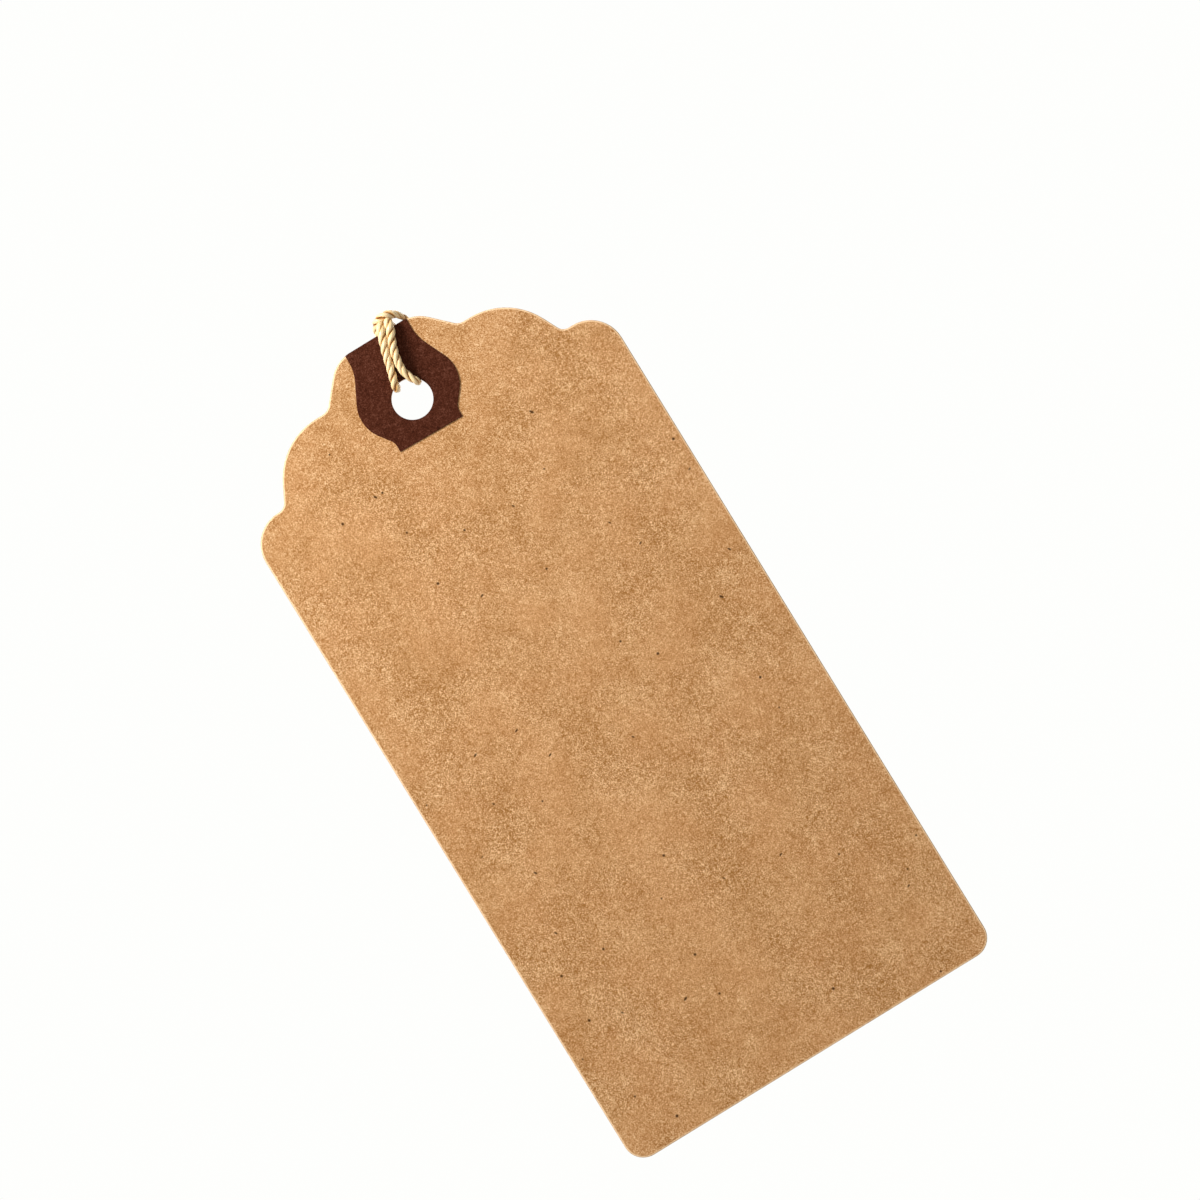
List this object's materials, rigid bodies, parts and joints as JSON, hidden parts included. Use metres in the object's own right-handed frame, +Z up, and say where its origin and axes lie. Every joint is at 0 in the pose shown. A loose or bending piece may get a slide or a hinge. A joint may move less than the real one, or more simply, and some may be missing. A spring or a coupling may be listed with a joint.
{
  "type": "gift tag",
  "caption": "Kraft card gift tag with a scalloped top, a dark patch round its hole on each face, and a twisted cord loop tied through the hole with a cow hitch.",
  "frame": {"origin": "middle of the hang hole, half way through the card's thickness", "axes": "+X to the right seen from the front, +Y out of the back of the card, +Z up the card towards its scalloped top"},
  "size_m": [0.06, 0.0061, 0.1227],
  "materials": {
    "kraft_card": "matt brown kraft board with fine fibres and flecks",
    "patch_paper": "matt dark brown dyed patch paper with a fine grain",
    "twisted_cord": "pale gold twisted cord with a soft sheen"
  },
  "bodies": {
    "tag": {"card": "kraft_card", "front_patch": "patch_paper", "back_patch": "patch_paper", "cord_hitch": "twisted_cord"},
    "cord_root": {"tail_root_left": "twisted_cord", "tail_root_right": "twisted_cord"},
    "cord_loop": {"tail_left": "twisted_cord", "tail_right": "twisted_cord", "end_knot": "twisted_cord", "cut_ends": "twisted_cord"}
  },
  "joints": [
    {"name": "cord_swing", "type": "hinge", "parent": "tag", "child": "cord_root", "pos_m": [0.00295, 0.0025, 0.01103], "axis": [1, 0, 0], "range_deg": [0, 180]},
    {"name": "cord_sway", "type": "hinge", "parent": "cord_root", "child": "cord_loop", "pos_m": [0.005, 0.0025, 0.00085], "axis": [0, 1, 0], "range_deg": [-60, 60]}
  ]
}
